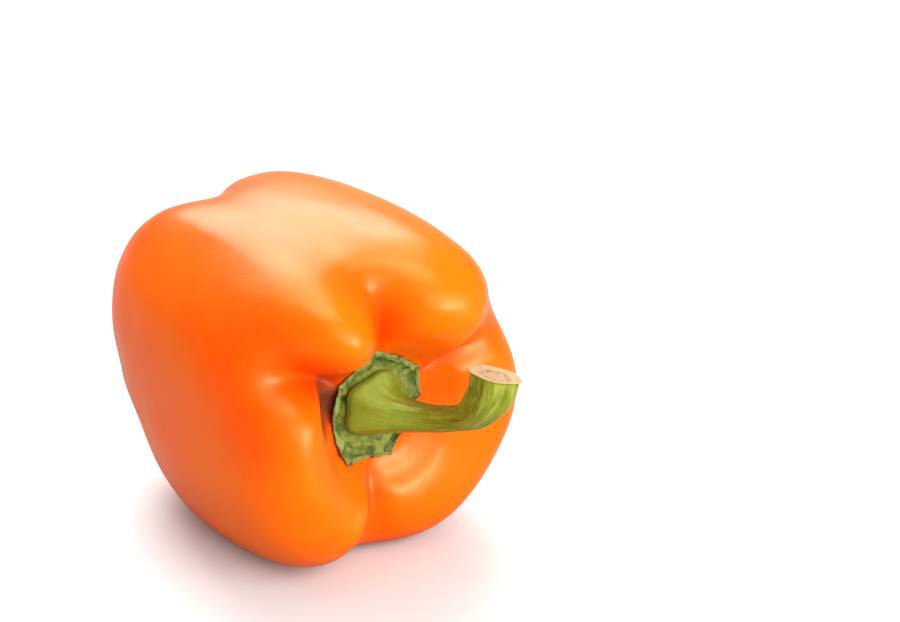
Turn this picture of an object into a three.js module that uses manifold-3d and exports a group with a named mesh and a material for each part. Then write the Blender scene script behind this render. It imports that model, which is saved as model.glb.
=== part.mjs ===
// A blocky bell pepper lying on its side: the fruit, the calyx on its stem end and the hooked stem.
// Millimetres, +Z up. +X runs along the fruit, from its blossom end to its stem end.
// Angles are in degrees round that axis, from +Y towards +Z.

import * as THREE from 'three';
import { mergeVertices } from 'three/addons/utils/BufferGeometryUtils.js';
import Module from 'manifold-3d';

const { smoothstep, lerp, degToRad, euclideanModulo } = THREE.MathUtils;

// Place: the fruit's axis above the surface that it lies on, and the point of the whole pepper's
// footprint, measured from the middle of the fruit, that becomes the origin.
const AXIS_HEIGHT = 36.2;
const FOOTPRINT_MIDDLE = new THREE.Vector2(6.44, 0.68);

// The fruit's two profiles, as (radius, height along the axis), from the centre of the stem end over
// the shoulder and the foot to the centre of the blossom end: along a lobe's crest, and in a furrow.
const CREST = profile([
  [0, 25], [6, 25], [11.5, 25.6], [15.5, 30.5], [20.5, 36.5], [27.5, 38.5], [35, 34.5], [40, 26.5],
  [42.5, 15], [43.3, 2], [42.6, -11], [40, -24], [35, -35.5], [27, -43], [17, -43.5], [8.5, -38],
  [3, -35], [0, -34.6],
]);
const FURROW = profile([
  [0, 25], [6, 25], [11.5, 25.2], [15.5, 26.2], [20, 28], [25.5, 28.6], [31, 26.5], [35.2, 21],
  [37, 12], [37.4, 1], [36.8, -10], [34.6, -21], [30, -29.5], [22.5, -34], [14.5, -35.4], [8.5, -35.2],
  [3, -34.8], [0, -34.6],
]);

// The furrows between the four lobes: angle and depth at the shoulder, the waist and the foot, and
// the columns of facets from each furrow to the next.
const FURROWS = [
  { angle: [-100, -96, -92], depth: [1, 0.55, 1], columns: 24 },
  { angle: [27, 22, 20], depth: [1.1, 0.6, 1], columns: 14 },
  { angle: [91, 99, 117], depth: [1.15, 0.5, 1.6], columns: 12 },
  { angle: [143, 152, 160], depth: [1.4, 0.35, 0.8], columns: 22 },
];
const FURROW_WIDTH = [12, 24, 16];
const FURROW_ROUNDNESS = [0.15, 0.7, 0.3];

// How stout the fruit is round its axis: at each angle, the factor on the crest's radius at the
// shoulder, the waist and the foot, how far the shoulder rises and the foot reaches, and how far the
// shoulder sinks to a furrow's profile.
const STATIONS = [
  { angle: -95, girth: [0.97, 0.92, 0.91], rise: -1.5, reach: 0, sunk: 0.6 },
  { angle: -64, girth: [1.045, 0.915, 0.95], rise: -1, reach: 0, sunk: 0.75 },
  { angle: -35, girth: [0.98, 0.925, 0.93], rise: -1.5, reach: 0, sunk: 0.8 },
  { angle: -5, girth: [1.02, 0.965, 0.97], rise: -2, reach: 0, sunk: 0.8 },
  { angle: 18, girth: [1, 0.95, 1], rise: -2, reach: 0, sunk: 0.6 },
  { angle: 50, girth: [1.03, 0.965, 1.02], rise: 0, reach: 0, sunk: 0 },
  { angle: 78, girth: [1.02, 0.93, 1.06], rise: 0, reach: 0.6, sunk: 0 },
  { angle: 100, girth: [1.01, 0.955, 1.14], rise: 0, reach: 1.2, sunk: 0 },
  { angle: 124, girth: [1.02, 1.01, 1.24], rise: 0.8, reach: 3, sunk: 0 },
  { angle: 146, girth: [1.03, 1.03, 1.2], rise: 0, reach: 3, sunk: 0 },
  { angle: 190, girth: [0.96, 0.87, 0.86], rise: 0, reach: 0, sunk: 0 },
  { angle: 236, girth: [0.985, 0.98, 0.94], rise: -0.3, reach: 0, sunk: 0 },
];

// Soft swellings and dents of the skin: where (angle, and part of the way from the stem end to the
// blossom end), how wide in both directions, and how high.
const SWELLINGS = [
  { angle: -115, at: 0.26, width: 9, length: 0.07, height: 1 },
  { angle: 122, at: 0.27, width: 15, length: 0.07, height: 1.4 },
  { angle: 206, at: 0.28, width: 14, length: 0.05, height: 0.6 },
  { angle: 172, at: 0.42, width: 16, length: 0.14, height: -1.2 },
  { angle: 208, at: 0.66, width: 12, length: 0.07, height: -1 },
  { angle: 232, at: 0.58, width: 13, length: 0.12, height: 1.3 },
  { angle: -8, at: 0.6, width: 18, length: 0.1, height: -0.8 },
  { angle: 61, at: 0.56, width: 14, length: 0.13, height: -1 },
  { angle: -60, at: 0.74, width: 18, length: 0.07, height: 0.9 },
];
// The pit beside the calyx, which the calyx bridges.
const PIT = { angle: 163, at: 0.15, width: 14, length: 0.06, height: -2.6 };
const FRUIT_ROWS = 44;

// The calyx: the corners of its outline, as angle and distance from the axis, its thickness from the
// centre to the rim, and the clearance under it.
const CALYX_CORNERS = [
  [-132, 14], [-100, 11.4], [-76, 12.3], [-54, 9.2], [-22, 9.3], [2, 10.4], [35, 12.6],
  [67, 12.5], [96, 14], [134, 12.6], [150, 11.9], [173, 12.5], [211, 13.6],
];
const CALYX_THICKNESS = profile([[0, 1], [0.6, 1], [0.82, 0.9], [0.92, 1.5], [1, 0.8]]);
const CALYX_CRINKLE = 0.28;
const CALYX_COLUMNS_A_SIDE = 4;
const CALYX_RINGS = 9;
const GAP = 0.35;

// The stem: its centre line from the middle of its foot, its radius at distances along that line, and
// the foot's five corners. It leaves the calyx upright over the first part of its length. The cut end
// is slightly hollow.
const STEM_BASE = 27.2;
const STEM_LINE = [
  [0, -1.6, 1.2], [2, -0.9, 1], [4.4, 1, 0.7], [9.4, 4.6, 0.8], [15.4, 7, 2.4],
  [20.4, 8.7, 5.2], [23.2, 9.8, 8.5], [24.4, 10.9, 11.6], [24.4, 11.8, 14.9],
];
const STEM_RADIUS = profile([
  [0, 7.5], [1.2, 7.5], [2.4, 6.4], [3.8, 5.2], [5.8, 4.2], [8.8, 3.5], [13, 3.1], [19, 3.15],
  [24, 3.9], [27.5, 4.6], [31, 5.2], [36, 5.6],
]);
const FOOT_CORNERS = [[82, 9.2], [150, 9.1], [208, 8.6], [296, 5.6], [377, 7.6]];
const FOOT_MEAN = 8.1;
const STEM_RIB = 0.05;
const STEM_UPRIGHT = 0.2;
const STEM_SIDEWAYS = new THREE.Vector3(0.33, -0.94, 0.11);
const STEM_COLUMNS = 30;
const STEM_RINGS = 26;
const CUT_RINGS = [{ radius: 0, depth: 0.5 }, { radius: 0.5, depth: 0.4 }, { radius: 0.9, depth: 0.08 }];
const FOOT_RINGS = [0.55, 0];

/** A smooth curve through (x, y) points. */
function profile(points) {
  return new THREE.SplineCurve(points.map(([x, y]) => new THREE.Vector2(x, y)));
}

/** The value between the ones at the shoulder, the waist and the foot, from where it starts to change. */
function alongFruit([shoulder, waist, foot], s, start = 0.12) {
  const toWaist = smoothstep(s, start, 0.5);
  const toFoot = smoothstep(s, 0.55, 0.88);
  return shoulder + (waist - shoulder) * toWaist + (foot - waist) * toFoot;
}

/** The two entries of a round list on either side of an angle, and the part of the way between them. */
function bracket(angles, angle) {
  const last = angles.length - 1;
  const turned = angles[0] + euclideanModulo(angle - angles[0], 360);
  const from = angles.findLastIndex((entry) => entry <= turned);
  const next = from === last ? angles[0] + 360 : angles[from + 1];
  return { from, to: from === last ? 0 : from + 1, part: (turned - angles[from]) / (next - angles[from]) };
}

/** The smallest turn from one angle to another, -180 to 180. */
function turn(from, to) {
  return euclideanModulo(to - from + 180, 360) - 180;
}

/**
 * The fruit's profile at an angle: radius and height at s, 0 at the stem end to 1 at the blossom end,
 * shaped by some swellings.
 */
function fruitProfile(angle, s, swellings = SWELLINGS) {
  const crest = CREST.getPoint(s);
  const furrow = FURROW.getPoint(s);
  const { from, to, part } = bracket(STATIONS.map((station) => station.angle), angle);
  const blend = smoothstep(part, 0, 1);
  const between = (value) => lerp(value(STATIONS[from]), value(STATIONS[to]), blend);
  const girth = between((station) => alongFruit(station.girth, s));
  const fullness = Math.sin(Math.PI * s) ** 0.7;
  const point = crest.clone();
  point.x *= 1 + (girth - 1) * fullness;
  point.y += between((station) => station.rise) * Math.exp(-(((s - 0.3) / 0.12) ** 2));
  point.y -= between((station) => station.reach) * Math.exp(-(((s - 0.78) / 0.12) ** 2));

  const width = alongFruit(FURROW_WIDTH, s, 0.2);
  const round = alongFruit(FURROW_ROUNDNESS, s, 0.2);
  let depth = 0;
  for (const cleft of FURROWS) {
    const away = turn(alongFruit(cleft.angle, s), angle) / width;
    depth += (1 - Math.tanh(Math.hypot(away, round) - round)) * alongFruit(cleft.depth, s, 0.2);
  }
  depth += between((station) => station.sunk) * (1 - smoothstep(s, 0.28, 0.46)) * (1 - Math.min(depth, 1));
  point.addScaledVector(furrow.sub(crest), depth);

  const ahead = CREST.getPoint(Math.min(s + 0.001, 1));
  const normal = ahead.sub(CREST.getPoint(Math.max(s - 0.001, 0))).normalize();
  normal.set(-normal.y, normal.x);
  for (const swelling of swellings) {
    const across = turn(swelling.angle, angle) / swelling.width;
    const down = (s - swelling.at) / swelling.length;
    point.addScaledVector(normal, swelling.height * Math.exp(-across * across - down * down));
  }
  return point;
}

/** A point of space from a radius, a height along the axis and an angle. */
function onAxis(radius, height, angle) {
  const a = degToRad(angle);
  return new THREE.Vector3(height, radius * Math.cos(a), radius * Math.sin(a));
}

/** A closed skin: a sphere's vertices, each taken to place(part of a turn, row) by its column and row. */
function skin(columns, rows, place) {
  const sphere = new THREE.SphereGeometry(1, columns, rows);
  const { position, uv } = sphere.attributes;
  for (let i = 0; i < position.count; i++) {
    const row = Math.round((1 - uv.getY(i)) * rows);
    const column = row === 0 || row === rows ? 0 : Math.round(uv.getX(i) * columns) % columns;
    const point = place(column, row);
    position.setXYZ(i, point.x, point.y, point.z);
  }
  sphere.deleteAttribute('uv');
  sphere.deleteAttribute('normal');
  return mergeVertices(sphere, 1e-4);
}

/** The fruit's skin. Its columns of facets follow the furrows. */
function makeFruitSkin() {
  const starts = [0];
  FURROWS.forEach((cleft) => starts.push(starts.at(-1) + cleft.columns));
  return skin(starts.at(-1), FRUIT_ROWS, (column, row) => {
    const s = row / FRUIT_ROWS;
    const lobe = starts.findLastIndex((start) => start <= column);
    const left = alongFruit(FURROWS[lobe].angle, s);
    const next = FURROWS[(lobe + 1) % FURROWS.length];
    const right = alongFruit(next.angle, s) + (next === FURROWS[0] ? 360 : 0);
    const angle = lerp(left, right, (column - starts[lobe]) / FURROWS[lobe].columns);
    const point = fruitProfile(angle, s, [...SWELLINGS, PIT]);
    return onAxis(point.x, point.y, angle);
  });
}

/** The place, from 0 to high, where a growing value reaches a target. */
function reachPlace(value, target, high = 1) {
  let low = 0;
  for (let step = 0; step < 30; step++) {
    const middle = (low + high) / 2;
    if (value(middle) < target) low = middle;
    else high = middle;
  }
  return low;
}

/** The height of a profile over an x. */
function heightOver(curve, x) {
  return curve.getPoint(reachPlace((place) => curve.getPoint(place).x, x)).y;
}

/** A point above the fruit's stem end: at a distance from the axis, and so high over the skin. */
function aboveFruit(angle, radius, lift) {
  const s = reachPlace((place) => fruitProfile(angle, place).x, radius, 0.3);
  const here = fruitProfile(angle, s);
  const slope = fruitProfile(angle, s + 0.004).sub(fruitProfile(angle, Math.max(s - 0.004, 0)));
  slope.normalize();
  return onAxis(here.x - slope.y * lift, here.y + slope.x * lift, angle);
}

/** The calyx: a crinkled collar with an angular rim, bedded in the hollow of the stem end. */
function makeCalyx() {
  const corners = CALYX_CORNERS.map(([angle, radius]) => onAxis(radius, 0, angle));
  const columns = corners.length * CALYX_COLUMNS_A_SIDE;
  const rows = 2 * CALYX_RINGS + 2;
  return skin(columns, rows, (column, row) => {
    const side = Math.floor(column / CALYX_COLUMNS_A_SIDE);
    const rim = corners[side].clone();
    rim.lerp(corners[(side + 1) % corners.length], (column % CALYX_COLUMNS_A_SIDE) / CALYX_COLUMNS_A_SIDE);
    const angle = THREE.MathUtils.radToDeg(Math.atan2(rim.z, rim.y));
    const reach = Math.min(Math.min(row, rows - row) / CALYX_RINGS, 1);
    const fold = Math.sin(degToRad(11 * angle)) + 0.7 * Math.sin(degToRad(7 * angle + 50));
    const crinkle = CALYX_CRINKLE * fold * smoothstep(reach, 0.66, 0.85);
    const thickness = heightOver(CALYX_THICKNESS, reach) + crinkle;
    let lift = GAP;
    if (row <= CALYX_RINGS) lift += thickness;
    if (row === CALYX_RINGS + 1) lift += thickness / 2;
    const bulge = row === CALYX_RINGS + 1 ? 1.015 : 1;
    return aboveFruit(angle, rim.length() * reach * bulge, lift);
  });
}

/** The stem: a five-cornered foot on the calyx, a slim neck and a hook that widens to the cut end. */
function makeStem() {
  const points = STEM_LINE.map((point) => new THREE.Vector3(...point));
  const line = new THREE.CatmullRomCurve3(points, false, 'centripetal');
  const length = line.getLength();
  const cornerAngles = FOOT_CORNERS.map(([angle]) => angle);
  const rows = CUT_RINGS.length + STEM_RINGS + FOOT_RINGS.length - 1;

  const ring = (part, angle, scale, sink) => {
    const centre = line.getPointAt(part);
    const leaving = smoothstep(part, 0, STEM_UPRIGHT);
    const tangent = new THREE.Vector3(1, 0, 0).lerp(line.getTangentAt(part), leaving).normalize();
    const across = STEM_SIDEWAYS.clone().addScaledVector(tangent, -STEM_SIDEWAYS.dot(tangent)).normalize();
    const upright = tangent.clone().cross(across);
    const { from, to, part: between } = bracket(cornerAngles, angle);
    const corner = lerp(FOOT_CORNERS[from][1], FOOT_CORNERS[to][1], between);
    const foot = (corner / FOOT_MEAN) * (1 - 0.11 * Math.sin(Math.PI * between) ** 2);
    const rib = 1 + STEM_RIB * Math.cos(degToRad(5 * angle + 40));
    const shape = lerp(foot, rib, smoothstep(part, 0.04, 0.2));
    const radius = heightOver(STEM_RADIUS, part * length) * shape * scale;
    const a = degToRad(angle - 180);
    return centre
      .addScaledVector(across, radius * Math.cos(a))
      .addScaledVector(upright, radius * Math.sin(a))
      .addScaledVector(tangent, -sink);
  };

  const geometry = skin(STEM_COLUMNS, rows, (column, row) => {
    const angle = (column / STEM_COLUMNS) * 360;
    const down = row - CUT_RINGS.length;
    if (down < 0) return ring(1, angle, CUT_RINGS[row].radius, CUT_RINGS[row].depth);
    if (down >= STEM_RINGS) return ring(0, angle, FOOT_RINGS[down - STEM_RINGS], 0);
    return ring((1 - down / (STEM_RINGS - 1)) ** 1.25, angle, 1, 0);
  });
  return geometry.translate(STEM_BASE, 0, 0);
}

const wasm = await Module();
wasm.setup();

/** The solid that a closed skin bounds. */
function toSolid(geometry) {
  const bare = geometry.clone();
  bare.deleteAttribute('uv');
  bare.deleteAttribute('normal');
  const merged = mergeVertices(bare, 1e-4);
  return new wasm.Manifold(new wasm.Mesh({
    numProp: 3,
    vertProperties: new Float32Array(merged.attributes.position.array),
    triVerts: new Uint32Array(merged.index.array),
  }));
}

/** The skin of a solid. */
function toGeometry(solid) {
  const { vertProperties, triVerts } = solid.getMesh();
  const geometry = new THREE.BufferGeometry();
  geometry.setAttribute('position', new THREE.BufferAttribute(new Float32Array(vertProperties), 3));
  geometry.setIndex(new THREE.BufferAttribute(new Uint32Array(triVerts), 1));
  return geometry;
}

/** A named sub-part with its own material, in the pepper's place. */
function addPart(name, geometry, color, roughness) {
  geometry.computeVertexNormals();
  const mesh = new THREE.Mesh(geometry, new THREE.MeshStandardMaterial({ color, roughness, metalness: 0 }));
  mesh.name = name;
  mesh.position.set(-FOOTPRINT_MIDDLE.x, -FOOTPRINT_MIDDLE.y, AXIS_HEIGHT);
  pepper.add(mesh);
}

const pepper = new THREE.Group();
pepper.name = 'bell_pepper';

// The surface flattens a small spot on each of the two lobes that the fruit lies on.
const surface = new THREE.BoxGeometry(120, 120, 20).translate(0, 0, -AXIS_HEIGHT - 10);
const fruit = toSolid(makeFruitSkin()).subtract(toSolid(surface));

addPart('fruit', toGeometry(fruit), 0xf26a08, 0.22);
addPart('calyx', makeCalyx(), 0x6f8a2e, 0.6);
addPart('stem', makeStem(), 0x95983a, 0.55);

export default pepper;
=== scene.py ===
"""A blocky bell pepper lying on its side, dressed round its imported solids.

The fruit, the calyx and the stem are lofted again with the same rules as their solids, only finer,
and take the finishes of a ripe orange pepper: waxy skin, a crinkled green collar, a ribbed green
stalk and a cream cut end. Profiles, corners and the pieces' other measures are in millimetres, as in
the part's source. What is written times MM is in metres, and so are the finished points and the
studio. Angles are in degrees round the fruit's axis, from +Y towards +Z.
"""

from __future__ import annotations

import logging
import math
from dataclasses import dataclass, field
from enum import Enum

import bpy
import numpy as np
from mathutils import Matrix, Vector

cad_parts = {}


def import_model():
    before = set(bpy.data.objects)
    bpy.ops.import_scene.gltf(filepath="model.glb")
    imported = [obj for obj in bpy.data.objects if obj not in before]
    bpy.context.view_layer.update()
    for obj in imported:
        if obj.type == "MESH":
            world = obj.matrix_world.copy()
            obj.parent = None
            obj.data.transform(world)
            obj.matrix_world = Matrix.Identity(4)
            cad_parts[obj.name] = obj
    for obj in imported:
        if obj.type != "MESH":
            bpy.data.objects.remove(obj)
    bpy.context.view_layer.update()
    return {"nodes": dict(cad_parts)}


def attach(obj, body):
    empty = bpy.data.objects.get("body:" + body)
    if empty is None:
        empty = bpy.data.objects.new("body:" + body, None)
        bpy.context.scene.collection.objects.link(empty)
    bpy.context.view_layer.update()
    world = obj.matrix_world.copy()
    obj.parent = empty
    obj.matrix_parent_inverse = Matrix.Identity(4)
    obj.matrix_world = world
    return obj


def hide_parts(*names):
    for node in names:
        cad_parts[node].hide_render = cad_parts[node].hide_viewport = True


LOG = logging.getLogger("bell_pepper")
MM = 0.001
BODY = "root"

# The axis's height over the floor, the middle of the box on the floor, and the gap under the calyx
AXIS_HEIGHT = 36.2 * MM
FOOTPRINT_MIDDLE = (6.44 * MM, 0.68 * MM)
GAP = 0.35 * MM


class Slot(Enum):
    """The record's material slots."""

    FRUIT = "fruit_skin"
    CALYX = "calyx_green"
    STEM = "stem_green"


class Socket(Enum):
    """The kinds of socket that the node trees use."""

    GEOMETRY = "NodeSocketGeometry"
    MATERIAL = "NodeSocketMaterial"
    FLOAT = "NodeSocketFloat"
    INTEGER = "NodeSocketInt"
    VECTOR = "NodeSocketVector"


# Shapes that the pieces share


class Profile:
    """A smooth curve through (x, y) points, with its ends clamped."""

    def __init__(self, points: list[tuple[float, float]]) -> None:
        """Keeps the points.

        Args:
            points: The points in order, in millimetres.
        """
        own = np.array(points, float)
        self.count = len(own) - 1
        self.padded = np.vstack([own[:1], own, own[-1:]])

    def at(self, s: np.ndarray) -> np.ndarray:
        """The points of the curve.

        Args:
            s: Places from 0 at the first point to 1 at the last.

        Returns:
            One (x, y) for each place.
        """
        place = np.clip(s, 0.0, 1.0) * self.count
        i = np.minimum(place.astype(int), self.count - 1)
        t = (place - i)[..., None]
        p0, p1, p2, p3 = (self.padded[i + k] for k in range(4))
        v0, v1 = (p2 - p0) / 2, (p3 - p1) / 2
        return ((2 * p1 - 2 * p2 + v0 + v1) * t + (-3 * p1 + 3 * p2 - 2 * v0 - v1)) * t * t + v0 * t + p1

    def height(self, x: np.ndarray) -> np.ndarray:
        """The y of the curve over an x, where x grows along the curve."""
        dense = self.at(np.linspace(0.0, 1.0, 1200))
        return np.interp(x, dense[:, 0], dense[:, 1])


def smoothstep(x: np.ndarray, low: float, high: float) -> np.ndarray:
    """A smooth step from 0 at low to 1 at high."""
    t = np.clip((x - low) / (high - low), 0.0, 1.0)
    return t * t * (3 - 2 * t)


def bell(x: np.ndarray, middle: float, spread: float, power: int = 2) -> np.ndarray:
    """A soft bell, 1 in its middle and near 0 past its spread, and flatter on top with a higher power."""
    return np.exp(-(((x - middle) / spread) ** power))


def turn(start: np.ndarray | float, end: np.ndarray | float) -> np.ndarray:
    """The smallest turn from one angle to another, -180 to 180 degrees."""
    return np.mod(end - start + 180.0, 360.0) - 180.0


def bracket(angles: list[float], angle: np.ndarray) -> tuple[np.ndarray, np.ndarray, np.ndarray]:
    """The entries of a round list on either side of each angle.

    Args:
        angles: Growing angles, less than a turn in all.
        angle: The angles to place.

    Returns:
        The index before, the index after, and the part of the way between them.
    """
    own = np.array(angles)
    turned = own[0] + np.mod(angle - own[0], 360.0)
    before = np.searchsorted(own, turned, side="right") - 1
    ends = np.append(own[1:], own[0] + 360.0)
    return before, (before + 1) % len(own), (turned - own[before]) / (ends[before] - own[before])


def on_axis(radius: np.ndarray, height: np.ndarray, angle: np.ndarray) -> np.ndarray:
    """Points from their places round the fruit's axis.

    Args:
        radius: How far from the axis each point is, in millimetres.
        height: How far along the axis it is, in millimetres.
        angle: Its angle.

    Returns:
        The points in the part's frame, in metres.
    """
    a = np.radians(angle)
    local = np.stack([height, radius * np.cos(a), radius * np.sin(a)], -1) * MM
    return local + np.array([-FOOTPRINT_MIDDLE[0], -FOOTPRINT_MIDDLE[1], AXIS_HEIGHT])


def loft(name: str, rows: np.ndarray) -> bpy.types.Object:
    """A closed skin through rings of points, facing out.

    Args:
        name: The piece's name.
        rows: Points by row and column. The first and the last row are poles, and their first point counts.

    Returns:
        The new object, at the origin and smooth shaded.
    """
    count, columns = rows.shape[:2]
    inner = rows[1:-1].reshape(-1, 3)
    points = np.vstack([rows[0, :1], inner, rows[-1, :1]])
    last = len(points) - 1
    here = np.arange(columns)
    there = (here + 1) % columns
    faces = [(0, 1 + a, 1 + b) for a, b in zip(here.tolist(), there.tolist())]
    for row in range(count - 3):
        low, high = 1 + row * columns, 1 + (row + 1) * columns
        corners = (low + here, high + here, high + there, low + there)
        faces += zip(*(corner.tolist() for corner in corners))
    base = 1 + (count - 3) * columns
    faces += [(last, base + b, base + a) for a, b in zip(here.tolist(), there.tolist())]
    mesh = bpy.data.meshes.new(name)
    mesh.from_pydata(points.tolist(), [], faces)
    mesh.shade_smooth()
    obj = bpy.data.objects.new(name, mesh)
    bpy.context.scene.collection.objects.link(obj)
    return obj


def store(obj: bpy.types.Object, name: str, rows: np.ndarray) -> None:
    """Keeps a number or a vector on each point of a lofted skin, for its material.

    Args:
        obj: The lofted piece.
        name: The attribute's name.
        rows: The values by row and column, laid out as the skin's points.
    """
    wide = rows.ndim == 3
    flat = rows[1:-1].reshape(-1, 3) if wide else rows[1:-1].reshape(-1)
    ends = (rows[0, :1], rows[-1, :1])
    values = np.concatenate([ends[0], flat, ends[1]])
    kind, key = ("FLOAT_VECTOR", "vector") if wide else ("FLOAT", "value")
    attribute = obj.data.attributes.new(name, kind, "POINT")
    attribute.data.foreach_set(key, values.astype(np.float32).ravel())


def finish_piece(obj: bpy.types.Object, node: str | None = None) -> None:
    """Makes a piece ride on the pepper and stand for its solid.

    Args:
        obj: The piece.
        node: The solid that it stands for, or None.
    """
    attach(obj, BODY)
    if node is not None:
        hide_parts(node)
    LOG.info("%s: %d faces", obj.name, len(obj.data.polygons))


# Node trees


@dataclass
class Wiring:
    """A named node tree, with short ways to add its nodes and links."""

    name: str
    tree: bpy.types.NodeTree = field(init=False)

    def node(self, kind: str, **settings: object) -> bpy.types.Node:
        """A new node.

        Args:
            kind: The node's type.
            settings: The node's properties and their values.

        Returns:
            The node.
        """
        made = self.tree.nodes.new(kind)
        for key, value in settings.items():
            setattr(made, key, value)
        return made

    def link(self, start: bpy.types.NodeSocket, end: bpy.types.NodeSocket) -> None:
        """Joins two sockets."""
        self.tree.links.new(start, end)

    def math(
        self, how: str, first: bpy.types.NodeSocket, second: object, clamp: bool = True
    ) -> bpy.types.NodeSocket:
        """Joins two values.

        Args:
            how: The operation.
            first: The first value.
            second: The second value, a socket or a number.
            clamp: Whether the result is kept within 0 to 1.

        Returns:
            The result.
        """
        made = self.node("ShaderNodeMath", operation=how, use_clamp=clamp)
        self.link(first, made.inputs[0])
        if isinstance(second, bpy.types.NodeSocket):
            self.link(second, made.inputs[1])
        else:
            made.inputs[1].default_value = second
        return made.outputs[0]


@dataclass
class GeometryTree(Wiring):
    """A geometry node tree with named inputs, ready to run on an object."""

    def __post_init__(self) -> None:
        """Makes the empty tree."""
        self.tree = bpy.data.node_groups.new(self.name, "GeometryNodeTree")
        self.sockets: dict[str, str] = {}

    def add_input(self, name: str, kind: Socket) -> None:
        """Adds a named input.

        Args:
            name: The input's name.
            kind: Its kind of socket.
        """
        socket = self.tree.interface.new_socket(name, in_out="INPUT", socket_type=kind.value)
        self.sockets[name] = socket.identifier

    def add_output(self) -> None:
        """Adds the output geometry."""
        self.tree.interface.new_socket("Geometry", in_out="OUTPUT", socket_type=Socket.GEOMETRY.value)

    def stored(self, name: str, kind: str) -> bpy.types.NodeSocket:
        """A value stored on the mesh.

        Args:
            name: The attribute's name.
            kind: Its data type.

        Returns:
            The value on each point.
        """
        made = self.node("GeometryNodeInputNamedAttribute", data_type=kind)
        made.inputs["Name"].default_value = name
        return made.outputs["Attribute"]

    def end(self, geometry: bpy.types.NodeSocket, material: bpy.types.NodeSocket) -> None:
        """Ends the tree with real faces in their material.

        Args:
            geometry: The geometry so far.
            material: The material input.
        """
        realize = self.node("GeometryNodeRealizeInstances")
        painted = self.node("GeometryNodeSetMaterial")
        out = self.node("NodeGroupOutput")
        self.link(geometry, realize.inputs["Geometry"])
        self.link(realize.outputs["Geometry"], painted.inputs["Geometry"])
        self.link(material, painted.inputs["Material"])
        self.link(painted.outputs["Geometry"], out.inputs[0])

    def apply(self, obj: bpy.types.Object, values: dict[str, object]) -> None:
        """Runs the tree on an object and keeps the result as its plain mesh.

        Args:
            obj: The object to change.
            values: A value for each named input.
        """
        modifier = obj.modifiers.new(self.name, "NODES")
        modifier.node_group = self.tree
        for name, value in values.items():
            modifier[self.sockets[name]] = value
        bpy.context.view_layer.update()
        graph = bpy.context.evaluated_depsgraph_get()
        made = bpy.data.meshes.new_from_object(obj.evaluated_get(graph), depsgraph=graph)
        old = obj.data
        obj.modifiers.remove(modifier)
        obj.data = made
        made.name = obj.name
        bpy.data.meshes.remove(old)


def relief_tree() -> GeometryTree:
    """A tree that sinks a surface by up to a depth, in soft noise stretched by a stored vector.

    Returns:
        The tree, with inputs for depth, scale, detail, seed, and the fields that place and mask the noise.
    """
    made = GeometryTree("surface_relief")
    made.add_input("Geometry", Socket.GEOMETRY)
    for name in ("Depth", "Scale", "Detail", "Seed"):
        made.add_input(name, Socket.FLOAT)
    made.add_input("Material", Socket.MATERIAL)
    made.add_output()
    entry = made.node("NodeGroupInput")
    noise = made.node("ShaderNodeTexNoise", noise_dimensions="4D")
    made.link(made.stored("relief_place", "FLOAT_VECTOR"), noise.inputs["Vector"])
    for given, taken in (("Seed", "W"), ("Scale", "Scale"), ("Detail", "Detail")):
        made.link(entry.outputs[given], noise.inputs[taken])
    sink = noise.outputs["Fac"]
    for factor in (made.stored("relief_mask", "FLOAT"), entry.outputs["Depth"], -1.0):
        sink = made.math("MULTIPLY", sink, factor, clamp=False)
    normal = made.node("GeometryNodeInputNormal")
    offset = made.node("ShaderNodeVectorMath", operation="SCALE")
    made.link(normal.outputs["Normal"], offset.inputs["Vector"])
    made.link(sink, offset.inputs["Scale"])
    moved = made.node("GeometryNodeSetPosition")
    made.link(entry.outputs["Geometry"], moved.inputs["Geometry"])
    made.link(offset.outputs["Vector"], moved.inputs["Offset"])
    made.end(moved.outputs["Geometry"], entry.outputs["Material"])
    return made


def bundle_tree() -> GeometryTree:
    """A tree that sets small flat grains in a ring, for the strands in a cut stalk.

    Returns:
        The tree, with inputs for the number of grains, the ring's and the grains' radius, and the seed.
    """
    scatter = 0.22 * MM
    smallest, largest = (0.6, 0.6, 0.25), (1.5, 1.1, 0.35)
    made = GeometryTree("strand_ring")
    made.add_input("Geometry", Socket.GEOMETRY)
    for name in ("Count", "Seed"):
        made.add_input(name, Socket.INTEGER)
    for name in ("Ring Radius", "Grain Radius"):
        made.add_input(name, Socket.FLOAT)
    made.add_input("Material", Socket.MATERIAL)
    made.add_output()
    entry = made.node("NodeGroupInput")
    circle = made.node("GeometryNodeMeshCircle")
    made.link(entry.outputs["Count"], circle.inputs["Vertices"])
    made.link(entry.outputs["Ring Radius"], circle.inputs["Radius"])
    jitter = made.node("FunctionNodeRandomValue", data_type="FLOAT_VECTOR")
    jitter.inputs["Min"].default_value = (-scatter, -scatter, 0.0)
    jitter.inputs["Max"].default_value = (scatter, scatter, 0.0)
    made.link(entry.outputs["Seed"], jitter.inputs["Seed"])
    moved = made.node("GeometryNodeSetPosition")
    made.link(circle.outputs["Mesh"], moved.inputs["Geometry"])
    made.link(jitter.outputs["Value"], moved.inputs["Offset"])
    grain = made.node("GeometryNodeMeshIcoSphere")
    grain.inputs["Subdivisions"].default_value = 2
    made.link(entry.outputs["Grain Radius"], grain.inputs["Radius"])
    size = made.node("FunctionNodeRandomValue", data_type="FLOAT_VECTOR")
    size.inputs["Min"].default_value = smallest
    size.inputs["Max"].default_value = largest
    made.link(entry.outputs["Seed"], size.inputs["Seed"])
    placed = made.node("GeometryNodeInstanceOnPoints")
    made.link(moved.outputs["Geometry"], placed.inputs["Points"])
    made.link(grain.outputs["Mesh"], placed.inputs["Instance"])
    made.link(size.outputs["Value"], placed.inputs["Scale"])
    made.end(placed.outputs["Instances"], entry.outputs["Material"])
    return made


# Finishes

Color = tuple[float, float, float]
Range = tuple[float, float]


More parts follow.
